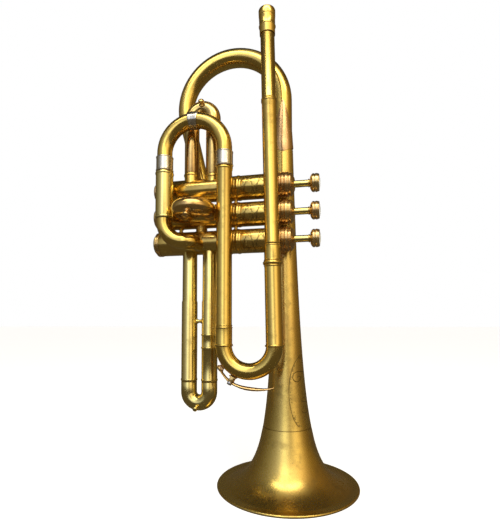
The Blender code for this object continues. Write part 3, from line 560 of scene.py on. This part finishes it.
def makeCaps(label, base):
    cap = valve["cap"]
    top = [(-3.1, 10.0), (-2.6, 10.25)]
    for centre in (-0.8, 2.0):
        top += ring(centre - 1.0, 0.9, cap, 0.15) + ring(centre, 0.7, 10.15, -0.55)
        top += ring(centre + 0.9, 0.7, cap, 0.15)
    top += [(4.4, cap), (4.8, 9.5), (5.6, 9.3)] + ring(6.5, 1.4, 9.2, 0.35)
    top += [(7.6, 8.7), (8.6, 7.6), (9.1, 6.0), (9.7, 4.9), (9.7, 3.2), (8.0, 3.2), (8.0, 8.3), (-0.1, 8.3),
            (-0.1, 9.5), (-3.1, 9.5)]
    smoothed(lathe(top, base, east), "topCap" + label, capCopper, "instrument",
             ["top_cap_" + label], soften=0.08)
    under = [(-110.0, 0), (-110.0, 8.0), (-107.8, 8.0), (-107.8, 9.5), (-104.8, 9.5), (-104.8, 10.1),
             (-105.2, 10.3)]
    knurls = ring(-107.6, 0.9, 10.15, 0.1) + ring(-106.7, 0.7, cap, -0.5) + ring(-105.8, 0.7, cap, 0.1)
    under += knurls[::-1]
    under += [(-108.3, 9.7), (-108.7, 7.4), (-109.3, 4.6), (-109.9, 3.3), (-110.6, 2.9), (-111.4, 2.9),
              (-111.9, 2.2), (-112.0, 0)]
    smoothed(lathe(under, base, east), "bottomCap" + label, capCopper, "instrument",
             ["bottom_cap_" + label], soften=0.08)


def makePiston(label, base):
    body = "valve_" + label
    profile = [(-93.8, 0), (-93.8, 8.2), (-42.9, 8.2), (-42.9, 3.4), (5.75, 3.4), (5.75, 7.8), (7.55, 7.8),
               (7.55, 2.8)]
    profile += [(20.4, 2.8)] + ring(21.2, 1.2, 2.8, 0.55) + [(22.0, 2.8), (22.0, 1.6), (26.4, 1.6), (26.4, 0)]
    smoothed(lathe(profile, base, east, 48), "piston" + label, slideBrass, body,
             ["piston_" + label], soften=0.06)
    button = [(22.2, 2.0), (22.2, 4.4), (22.9, 5.9), (23.7, 6.9), (24.4, 7.25)] + ring(25.0, 0.9, 7.2, 0.12)
    button += ring(25.9, 0.6, 7.15, -0.3) + ring(27.1, 1.3, 7.15, 0.18)
    button += [(28.3, 7.1), (29.0, 6.9), (29.5, 6.5), (29.5, 6.15), (28.5, 6.15), (28.5, 0.8), (27.1, 0.8),
               (27.1, 2.0)]
    smoothed(lathe(button, base, east), "fingerButton" + label, buttonBrass, body,
             ["finger_button_" + label], soften=0.08)
    face = [(28.7, 0), (28.7, 5.8), (29.3, 5.8), (29.75, 5.0), (30.1, 3.4), (30.25, 1.6), (30.3, 0)]
    smoothed(lathe(face, base, east), "buttonPearl" + label, pearl, body, ["button_pearl_" + label],
             soften=0.1)


def makeValves():
    for number, height in valve["heights"].items():
        base = at(0, valve["y"], height)
        makeCasing(str(number), base)
        makeCaps(str(number), base)
        makePiston(str(number), base)
        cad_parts["valve_spring_" + str(number)].material_slots[0].material = steel
    post = [(-1.5, 0), (-1.5, 2.47), (-1.125, 2.47), (-0.625, 1.52), (0.625, 1.52), (1.125, 2.47), (1.5, 2.47),
            (1.5, 0)]
    posts = {"valvePost12": ("valve_post_12", -39.5, 236.95), "valvePost23": ("valve_post_23", -39.5, 214.45),
             "valvePostRear": ("valve_post_rear_23", -88.0, 214.45)}
    for name, (node, x, z) in posts.items():
        smoothed(lathe(post, at(x, valve["y"], z), up, 32), name, casingBrass, "instrument",
                 [node],
                 soften=0.05)
    knuckle = [(-3.2, 0), (-3.2, 4.8)] + ring(-1.9, 1.0, 4.8, 0.3) + ring(0, 1.0, 4.7, 0.2)
    knuckle += ring(1.9, 1.0, 4.8, 0.3) + [(3.2, 4.8), (3.2, 0)]
    for name, node, z in (("windway12", "windway_12", 236.95), ("windway23", "windway_23", 214.45)):
        smoothed(lathe(knuckle, at(-69.5, valve["y"], z), up, 48), name, casingBrass, "instrument",
                 [node],
                 soften=0.05)


# mouthpipe and front bow

pipes = {"plane": -40.2, "foot": 118.8, "footX": -4.4, "topX": -9.8, "top": 383.4, "legX": -44.4}


def mouthSpot(z):
    share = (z - pipes["foot"]) / (pipes["top"] - pipes["foot"])
    return Vector((pipes["footX"] + (pipes["topX"] - pipes["footX"]) * share, pipes["plane"], z))


def makeMouthpipe():
    foot, top = mouthSpot(pipes["foot"]), mouthSpot(pipes["top"])
    along = (top - foot).normalized()
    receiver = [(-20.3, 6.15), (-14.9, 6.2), (-14.4, 6.4)] + ring(-13.7, 0.9, 6.4, 0.35)
    receiver += [(-13.0, 6.35), (-7.0, 6.4)] + ring(-6.2, 1.0, 6.5, -0.2)
    receiver += [(-5.6, 6.6), (-0.9, 6.7), (-0.3, 6.5), (0, 6.0), (0, 4.8), (-18.0, 4.4), (-18.0, 5.75),
                 (-20.3, 5.75)]
    smoothed(lathe(receiver, bellAxis + top * mm, along), "mouthpieceReceiver", tubeBrass, "instrument",
             ["mouthpiece_receiver"], soften=0.1)
    outer = [(12.0, 5.8)] + ring(77.9, 1.2, 5.8, 0.4)
    outer += ring(189.9, 1.1, 5.75, 0.5) + ring(191.5, 1.1, 5.7, 0.5) + [(245.8, 5.6)]
    smoothed(lathe(shell(outer, 5.1), bellAxis + foot * mm, along), "mouthpipe", tubeBrass, "instrument",
             ["mouthpipe"], soften=0.06)
    lower = [(-1.6, 6.75)] + ring(-0.6, 1.6, 6.75, 0.6) + [(0.6, 6.6), (59.0, 6.45)]
    lower += ring(60.1, 1.0, 6.45, 0.4) + ring(62.4, 2.8, 6.5, 1.1) + ring(64.6, 1.0, 6.4, 0.4)
    lower += [(65.6, 6.4), (75.2, 6.4)] + ring(76.0, 1.1, 6.35, 0.3) + [(76.9, 6.2)]
    smoothed(lathe(shell(lower, 6.0), bellAxis + foot * mm, along), "lowerMouthpipe", tubeBrass, "instrument",
             ["lower_mouthpipe"], soften=0.06)

    x, y, z, legX = pipes["footX"], pipes["plane"], pipes["foot"], pipes["legX"]
    span = (x - legX) / 2
    low = z - 0.6 - span
    path = rounded([(x, y, z), (x, y, low), (legX, y, low), (legX, y, z)], [span * 0.999] * 2, 16)
    smoothed(pipe(path, [(0, 6.5), (1, 6.4)], 40), "frontBow", tubeBrass, "instrument",
             ["front_bow"],
             soften=0)
    leg = [(-1.6, 6.7)] + ring(-0.6, 1.6, 6.7, 0.6) + [(0.6, 6.6), (12.2, 6.6)]
    leg += ring(13.0, 0.9, 6.6, 0.35) + ring(14.6, 0.9, 6.4, 0.35)
    leg += [(15.4, 6.3), (138.3, 6.25)] + ring(139.3, 2.0, 6.25, 0.55) + [(140.5, 6.2)]
    smoothed(lathe(shell(leg, 5.8), at(legX, y, z), up), "frontBowLeg", tubeBrass, "instrument",
             ["front_bow_leg"], soften=0.06)


# main tuning slide

tuning = {"left": -95.5, "right": -44.4, "crown": 300.5, "rest": 259.3, "tube": 6.2, "foot": 220.6}


def makeTuningSlide():
    left, right, rest, crown = (tuning[key] for key in ("left", "right", "rest", "crown"))
    plane, tube, half = pipes["plane"], tuning["tube"], (right - left) / 2
    corners = [(right, plane, rest + 0.3), (right, plane, crown), (left, plane, crown),
               (left, plane, rest + 0.3)]
    smoothed(pipe(rounded(corners, [half * 0.999] * 2, 20), [(0, tube), (1, tube)], 44), "tuningSlideBow",
             tubeBrass,
             "tuning_slide", ["tuning_slide_bow"], soften=0)
    ferrule = [(0.4, 6.9)] + ring(1.2, 1.0, 6.9, 0.3) + [(1.9, 6.85), (11.0, 6.85)]
    ferrule += ring(11.8, 0.9, 6.8, 0.3) + [(12.6, 6.5)]
    for side, x in (("Left", left), ("Right", right)):
        smoothed(lathe(shell(ferrule, 6.25), at(x, plane, rest + 0.2), up), "tuningFerrule" + side, nickel,
                 "tuning_slide", ["tuning_slide_ferrule_" + side.lower()], soften=0.08)
    centre = Vector(((left + right) / 2, plane, crown - half))
    path = []
    for step in range(9):
        turn = radians(81 + 18 * step / 8)
        path.append((centre + Vector((cos(turn), 0, sin(turn))) * half, Vector((-sin(turn), 0, cos(turn)))))
    edge = [(0, 6.95), (0.10, 7.15), (0.16, 6.95), (0.84, 6.95), (0.90, 7.15), (1, 6.95)]
    smoothed(pipe(path, edge, 48, bore=0.6), "tuningCrownBand", nickel, "tuning_slide",
             ["tuning_slide_band"],
             soften=0.05)
    for name in ("tuning_slide_leg_left", "tuning_slide_leg_right"):
        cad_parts[name].material_slots[0].material = nickel
    length = rest - tuning["foot"]
    outer = [(0, 7.1)] + ring(1.2, 1.8, 7.1, 0.4) + [(2.4, 7.1), (length - 2.6, 7.1)]
    outer += ring(length - 1.4, 1.8, 7.1, 0.45) + [(length, 7.0)]
    smoothed(lathe(shell(outer, 5.8), at(left, plane, tuning["foot"]), up), "tuningSlideReceiver", slideBrass,
             "instrument", ["tuning_slide_receiver"], soften=0.08)
    corners = [(left, plane, tuning["foot"] - 0.3), (left, plane, 202.2), (-74.0, -39.2, 201.2),
               (-69.0, -24.0, 201.2)]
    smoothed(pipe(rounded(corners, [17.0, 7.5], 12), [(0, 6.4), (1, 6.2)], 40), "thirdValveInlet", tubeBrass,
             "instrument",
             ["third_valve_inlet"], soften=0)


# valve slides

def pullKnob(base, axis, size=1.0):
    profile = [(-2.0, 0), (-2.0, 1.7), (0.5, 1.7)] + ring(1.2, 1.2, 1.9, 0.8)
    profile += [(2.0, 1.5), (2.5, 1.4), (3.0, 1.6), (3.3, 2.1), (3.9, 2.6), (4.7, 2.8), (5.4, 2.5), (5.9, 1.8),
                (6.2, 0.9), (6.3, 0)]
    return lathe([(along * size, radius * size) for along, radius in profile], base, axis, 32)


def makeCrook(name, node, corners, radius, half, knob, body, material):
    bm = pipe(rounded(corners, [half * 0.999] * 2, 12), [(0, radius), (1, radius)], 40)
    bm = joined(bm, pullKnob(at(*knob["spot"]), Vector(knob["axis"]).normalized(), knob["size"]))
    smoothed(bm, name, material, body, [node], soften=0.05, creases=60)


def makeReceiver(name, node, path, radius):
    # a plain tube with a raised ring just inside its open end
    heading = path[0][1]
    cuff = ring(1.5, 2.0, radius, 0.55)
    path = path[:1] + [(path[0][0] + heading * along, heading) for along, size in cuff] + path[1:]
    length = sum((after[0] - before[0]).length for before, after in zip(path, path[1:]))
    radii = [(0, radius)] + [(along / length, size) for along, size in cuff] + [(1, radius)]
    smoothed(pipe(path, radii, 40), name, tubeBrass, "instrument", [node], soften=0)


firstSlide = {"left": -77.9, "right": -58.9, "plane": -24.0, "crown": 319.0, "tube": 6.2, "rightDrop": 2.4,
              "knob": {"spot": (-67.6, -29.2, 318.6), "axis": (0.1, -0.75, 0.65), "size": 0.9}}


def makeFirstSlide():
    left, right, plane, crown, tube = (firstSlide[key] for key in ("left", "right", "plane", "crown", "tube"))
    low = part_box("first_slide_receiver_left")[1][2] / mm
    rightLow = low - firstSlide["rightDrop"]
    path = rounded([(left, plane, low), (left, plane, 249.2), (-69.4, -22.0, 247.2)], [6.5], 12)
    makeReceiver("firstSlideLeft", "first_slide_receiver_left", path, tube)
    path = [(Vector((right, plane, rightLow)), down), (Vector((right, plane, 246.0)), down)]
    makeReceiver("firstSlideRight", "first_slide_receiver_right", path, tube)
    corners = [(left, plane, low + 0.3), (left, plane, crown), (right, plane, crown),
               (right, plane, rightLow + 0.3)]
    makeCrook("firstSlideCrook", "first_slide_crook", corners, tube, (right - left) / 2, firstSlide["knob"],
              "first_slide", crookCopper)


secondSlide = {"left": -79.3, "right": -57.7, "height": 225.7, "end": -40.0, "reach": -56.0, "tube": 6.2,
               "knob": {"spot": (-68.5, -58.6, 220.6), "axis": (0, -0.55, -0.85), "size": 1.0}}


def makeSecondSlide():
    left, right, height, end, reach = (secondSlide[key] for key in ("left", "right", "height", "end", "reach"))
    for side, x in (("Left", left), ("Right", right)):
        path = [(Vector((x, end, height)), -front), (Vector((x, -25.0, height)), -front)]
        makeReceiver("secondSlide" + side, "second_slide_receiver_" + side.lower(), path, secondSlide["tube"])
    corners = [(left, end - 0.3, height), (left, reach, height), (right, reach, height),
               (right, end - 0.3, height)]
    makeCrook("secondSlideCrook", "second_slide_crook", corners, secondSlide["tube"], (right - left) / 2,
              secondSlide["knob"], "second_slide", crookCopper)


thirdSlide = {"left": -79.7, "right": -61.9, "plane": -22.0, "crown": 69.5, "foot": 87.0, "tube": 6.6,
              "brace": 137.0,
              "knob": {"spot": (-70.8, -27.9, 67.0), "axis": (-0.1, -0.9, -0.35), "size": 0.75}}


def makeThirdSlide():
    left, right, plane, crown, foot = (thirdSlide[key] for key in ("left", "right", "plane", "crown", "foot"))
    tube = thirdSlide["tube"]
    for side, x in (("Left", left), ("Right", right)):
        outer = [(0, 6.55)] + ring(1.4, 1.8, tube, 0.35)
        if x == right:
            outer += ring(28.0, 1.4, tube, 0.5) + ring(38.6, 1.4, tube, 0.5)
        outer += [(66.0, tube), (67.5, 6.15), (114.0, 6.1)]
        smoothed(lathe(shell(outer, 5.6), at(x, plane, foot), up), "thirdSlide" + side, slideBrass,
                 "instrument",
                 ["third_slide_receiver_" + side.lower()], soften=0.06)
    corners = [(left, plane, foot - 0.3), (left, plane, crown), (right, plane, crown),
               (right, plane, foot - 0.3)]
    makeCrook("thirdSlideCrook", "third_slide_crook", corners, tube, (right - left) / 2, thirdSlide["knob"],
              "third_slide", slideBrass)
    post = [(-2.4, 0), (-2.4, 2.2), (-1.6, 2.0), (-0.8, 1.4), (0.8, 1.4), (1.6, 2.0), (2.4, 2.2), (2.4, 0)]
    smoothed(lathe(post, at((left + right) / 2, plane, thirdSlide["brace"]), east, 32), "thirdSlideBrace",
             slideBrass,
             "instrument", ["third_slide_brace"], soften=0.1)


# water key and braces

# lever: (degrees round the front bow, distance from its centre, width, depth)
waterKey = {"centre": (-24.4, 117.8), "cup": 218, "hinge": 243,
            "lever": [(218, 29.2, 5.0, 1.6), (226, 29.9, 4.2, 1.6), (234, 30.7, 3.8, 1.8),
                      (243, 31.6, 5.0, 2.6),
                      (250, 31.8, 4.0, 2.2), (258, 32.1, 4.4, 2.6), (266, 32.4, 4.8, 3.0),
                      (274, 32.9, 4.8, 3.0),
                      (282, 33.8, 4.4, 2.6), (290, 35.0, 3.6, 2.0), (297, 36.2, 2.6, 1.4),
                      (302, 36.9, 1.4, 0.9)]}


def makeWaterKey():
    pivot = boxOf("water_key_pin")[0]
    centre = at(waterKey["centre"][0], pipes["plane"], waterKey["centre"][1])

    def spot(angle, radius):
        return centre + Vector((cos(radians(angle)), 0, sin(radians(angle)))) * radius * mm

    lever = waterKey["lever"]
    spots = [spot(angle, radius) for angle, radius, _, _ in lever]
    stations = []
    for index, (_, _, width, depth) in enumerate(lever):
        along = (spots[min(index + 1, len(spots) - 1)] - spots[max(index - 1, 0)]).normalized()
        turn = Matrix((front, along.cross(front).normalized(), along)).transposed().to_4x4()
        size = Matrix.Diagonal((width / 2 * mm, depth / 2 * mm, 1, 1))
        stations.append(Matrix.Translation(spots[index]) @ turn @ size)
    bm = bmesh.new()
    bmesh.ops.create_circle(bm, segments=16, radius=1, matrix=stations[0])
    first = edges = list(bm.edges)
    for last, station in zip(stations, stations[1:]):
        edges = grow(bm, edges, station @ last.inverted())
    bmesh.ops.holes_fill(bm, edges=first + edges, sides=0)
    outward = (spot(waterKey["cup"], 1) - centre).normalized()
    cup = [(1.8, 0), (1.8, 2.9), (2.2, 3.1), (3.2, 3.0), (3.9, 2.2), (4.1, 0)]
    cup = lathe(cup, spot(waterKey["cup"], 26.2), outward, 40)
    knuckle = lathe([(-2.5, 1.25), (-2.5, 1.75), (2.5, 1.75), (2.5, 1.25)], pivot, front, 32)
    smoothed(joined(bm, cup, knuckle), "waterKeyLever", capCopper, "water_key",
             ["water_key_lever"],
             soften=0.1, creases=50)
    plug = [(0.2, 0), (0.2, 2.1), (0.5, 2.4), (1.7, 2.4), (1.7, 0)]
    smoothed(lathe(plug, spot(waterKey["cup"], 26.4), outward, 32), "waterKeyCork", cork, "water_key",
             ["water_key_cork"], soften=0.1)
    out = (pivot - centre).normalized()
    turn = Matrix((out.cross(front).normalized(), front, out)).transposed().to_4x4()
    bm = bmesh.new()
    foot = spot(waterKey["hinge"], 26.75)
    addBlock(bm, foot, (0.0058, 0.0072, 0.0007), turn)
    for side in (-1, 1):
        addBlock(bm, foot + out * 0.0030 + front * side * 0.0032, (0.0036, 0.0008, 0.0068), turn)
    smoothed(bm, "waterKeySaddle", capCopper, "instrument", ["water_key_saddle"], soften=0.2)
    pin = [(-4.6, 0), (-4.6, 1.3), (-3.7, 1.3), (-3.7, 0.9), (3.7, 0.9), (3.7, 1.3), (4.6, 1.3), (4.6, 0)]
    smoothed(lathe(pin, pivot, front, 24), "waterKeyPin", steel, "instrument",
             ["water_key_pin"],
             soften=0.1)


def makeBraces():
    middle, size = boxOf("bell_brace")
    place = Matrix.Translation(middle) @ Matrix.Diagonal((size.x / 2, 1, size.z / 2, 1))
    bm = bmesh.new()
    bmesh.ops.create_circle(bm, segments=4, radius=1, cap_ends=True,
                            matrix=place @ Matrix.Rotation(pi / 2, 4, "X"))
    grown = bmesh.ops.extrude_face_region(bm, geom=list(bm.faces))["geom"]
    verts = [g for g in grown if isinstance(g, bmesh.types.BMVert)]
    bmesh.ops.translate(bm, verts=verts, vec=Vector((0, size.y, 0)))
    bmesh.ops.translate(bm, verts=bm.verts, vec=Vector((0, -size.y / 2, 0)))
    smoothed(bm, "bellBrace", capCopper, "instrument", ["bell_brace"], soften=0.2)
    bm = bmesh.new()
    addBlock(bm, *boxOf("mouthpipe_brace"))
    smoothed(bm, "mouthpipeBrace", casingBrass, "instrument", ["mouthpipe_brace"], soften=0.3)


def makeFloor():
    sheet = Sheet("paleFloor")
    speck = sheet.noise(30, 3)
    colour = sheet.mix(speck, (0.90, 0.90, 0.90, 1), (0.93, 0.93, 0.93, 1))
    sheet.feed(sheet.shader.inputs["Emission Color"], colour)
    sheet.shader.inputs["Emission Strength"].default_value = 0.80
    material = sheet.finishWith(colour, 0.7 + speck * 0.1, 0.0)
    dark = sheet.node("ShaderNodeEmission", {}, {"Color": (0.60, 0.50, 0.34, 1), "Strength": 0.16})
    path = sheet.node("ShaderNodeLightPath")
    share = sheet.node("ShaderNodeMixShader", {}, {0: path.outputs["Is Glossy Ray"]})
    sheet.feed(share.inputs[1], sheet.shader.outputs[0])
    sheet.feed(share.inputs[2], dark.outputs[0])
    sheet.feed(sheet.tree.nodes["Material Output"].inputs[0], share.outputs[0])
    bm = bmesh.new()
    bmesh.ops.create_grid(bm, x_segments=4, y_segments=4, size=30)
    mesh = bpy.data.meshes.new("floor")
    bm.to_mesh(mesh)
    bm.free()
    mesh.materials.append(material)
    floor = bpy.data.objects.new("floor", mesh)
    bpy.context.collection.objects.link(floor)


# what the metal reflects: (degrees round from the front, positive towards the buttons, then a colour)
around = [(-180, (0.10, 0.09, 0.06)), (-120, (0.10, 0.08, 0.05)), (-95, (0.14, 0.12, 0.08)),
          (-62, (0.26, 0.26, 0.24)),
          (-38, (0.44, 0.46, 0.52)), (-20, (0.80, 0.88, 1.15)), (-4, (1.75, 1.90, 2.00)),
          (9, (1.20, 1.20, 1.25)), (20, (0.58, 0.52, 0.42)),
          (32, (1.20, 1.08, 0.88)), (46, (1.60, 1.38, 1.00)), (60, (1.20, 0.96, 0.60)),
          (76, (0.52, 0.38, 0.18)), (96, (0.28, 0.19, 0.06)),
          (135, (0.16, 0.11, 0.05)), (180, (0.10, 0.08, 0.05))]
# and how much of it at each height: sine of the elevation, share
rising = [(-1.0, 0.06), (-0.6, 0.10), (-0.3, 0.26), (-0.12, 0.62), (0.02, 0.95), (0.12, 1.0), (0.62, 1.0),
          (0.75, 0.5), (0.9, 0.32), (1.0, 0.30)]


def makeWorld():
    world = bpy.data.worlds.new("studio")
    world.use_nodes = True
    tree = world.node_tree
    tree.nodes.clear()
    kinds = {"output": "OutputWorld", "seen": "Background", "room": "Background", "share": "MixShader",
             "path": "LightPath",
             "coords": "TexCoord", "split": "SeparateXYZ", "flip": "Math", "angle": "Math", "turn": "MapRange",
             "height": "MapRange",
             "sides": "ValToRGB", "levels": "ValToRGB", "both": "Mix"}
    made = {name: tree.nodes.new("ShaderNode" + kind) for name, kind in kinds.items()}
    made["seen"].inputs["Color"].default_value = (1, 1, 1, 1)  # what the camera sees behind the object
    made["room"].inputs["Strength"].default_value = 2.0
    made["flip"].operation = "MULTIPLY"
    made["flip"].inputs[1].default_value = -1
    made["angle"].operation = "ARCTAN2"
    made["turn"].inputs["From Min"].default_value = -pi
    made["turn"].inputs["From Max"].default_value = pi
    made["height"].inputs["From Min"].default_value = -1
    stops = {"sides": [((turn + 180) / 360, colour) for turn, colour in around],
             "levels": [((height + 1) / 2, (share, share, share)) for height, share in rising]}
    for name, marks in stops.items():
        elements = made[name].color_ramp.elements
        elements.remove(elements[0])
        elements[0].position = marks[0][0]
        elements[0].color = (*(value / 2 for value in marks[0][1]), 1) if name == "sides" else (*marks[0][1], 1)
        for place, colour in marks[1:]:
            elements.new(place).color = (*(value / 2 for value in colour), 1) if name == "sides" else (*colour,
                                                                                                       1)
    made["both"].data_type = "RGBA"
    made["both"].blend_type = "MULTIPLY"
    made["both"].inputs[0].default_value = 1.0
    links = [("coords", "Generated", "split", 0), ("split", "Y", "flip", 0), ("split", "X", "angle", 0),
             ("flip", 0, "angle", 1),
             ("angle", 0, "turn", "Value"), ("split", "Z", "height", "Value"), ("turn", 0, "sides", 0),
             ("height", 0, "levels", 0),
             ("sides", 0, "both", 6), ("levels", 0, "both", 7), ("both", 2, "room", "Color"),
             ("path", "Is Camera Ray", "share", 0),
             ("room", 0, "share", 1), ("seen", 0, "share", 2), ("share", 0, "output", 0)]
    for giver, output, taker, socket in links:
        tree.links.new(made[giver].outputs[output], made[taker].inputs[socket])
    bpy.context.scene.world = world


makeWorld()
addStudio()
makeFloor()
print("studio made")
makeBell()
makeBellBow()
print("bell made")
makeValves()
print("valves made")
makeMouthpipe()
makeTuningSlide()
print("pipes made")
makeFirstSlide()
makeSecondSlide()
makeThirdSlide()
print("slides made")
makeWaterKey()
makeBraces()
print("keys and braces made")
